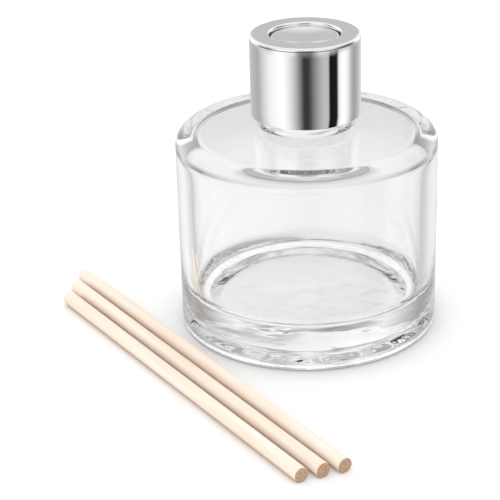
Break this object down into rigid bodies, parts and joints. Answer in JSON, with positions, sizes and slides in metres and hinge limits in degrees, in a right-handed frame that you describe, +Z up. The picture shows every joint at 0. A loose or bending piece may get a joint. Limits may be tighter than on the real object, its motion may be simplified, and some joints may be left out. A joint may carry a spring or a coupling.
{
  "type": "reed diffuser",
  "caption": "Round clear glass reed diffuser bottle with a screw-on polished metal collar, a dished stopper and loose wooden reeds.",
  "frame": {"origin": "centre of the bottle's foot ring, on the surface the bottle stands on", "axes": "+Z up along the bottle's axis; -Y towards the viewer; the reeds lie on the table on the -X and -Y side"},
  "size_m": [0.1144, 0.1362, 0.0889],
  "materials": {
    "clear_glass": "clear flint glass, fire-polished",
    "polished_aluminium": "mirror-polished silver",
    "white_liner": "moulded natural polypropylene",
    "soft_seal": "soft foamed polyethylene",
    "soft_plug": "translucent low-density polyethylene",
    "pale_wood": "sanded unfinished wood"
  },
  "bodies": {
    "bottle": {"glass_bottle": "clear_glass"},
    "seal": {"seal_washer": "soft_seal"},
    "collar": {"collar_shell": "polished_aluminium", "collar_liner": "white_liner"},
    "stopper": {"stopper_cap": "polished_aluminium", "stopper_plug": "soft_plug"},
    "inner_reed": {"reed_inner": "pale_wood"},
    "middle_reed": {"reed_middle": "pale_wood"},
    "outer_reed": {"reed_outer": "pale_wood"}
  },
  "joints": [
    {"name": "collar_lift", "type": "slide", "parent": "bottle", "child": "seal", "axis": [0, 0, 1], "range_m": [0, 0.024]},
    {"name": "collar_turn", "type": "hinge", "parent": "seal", "child": "collar", "pos_m": [0, 0, 0.077], "axis": [0, 0, 1], "range_deg": [0, 2160.1]},
    {"name": "stopper_lift", "type": "slide", "parent": "bottle", "child": "stopper", "axis": [0, 0, 1], "range_m": [0, 0.045]},
    {"name": "inner_reed_lift", "type": "slide", "parent": "bottle", "child": "inner_reed", "axis": [0, 0, 1], "range_m": [0, 0.06]},
    {"name": "middle_reed_lift", "type": "slide", "parent": "bottle", "child": "middle_reed", "axis": [0, 0, 1], "range_m": [0, 0.06]},
    {"name": "outer_reed_lift", "type": "slide", "parent": "bottle", "child": "outer_reed", "axis": [0, 0, 1], "range_m": [0, 0.06]}
  ],
  "couplings": [
    {"joint": "collar_turn", "follows": "collar_lift", "rad_per_m": 1570.8}
  ]
}
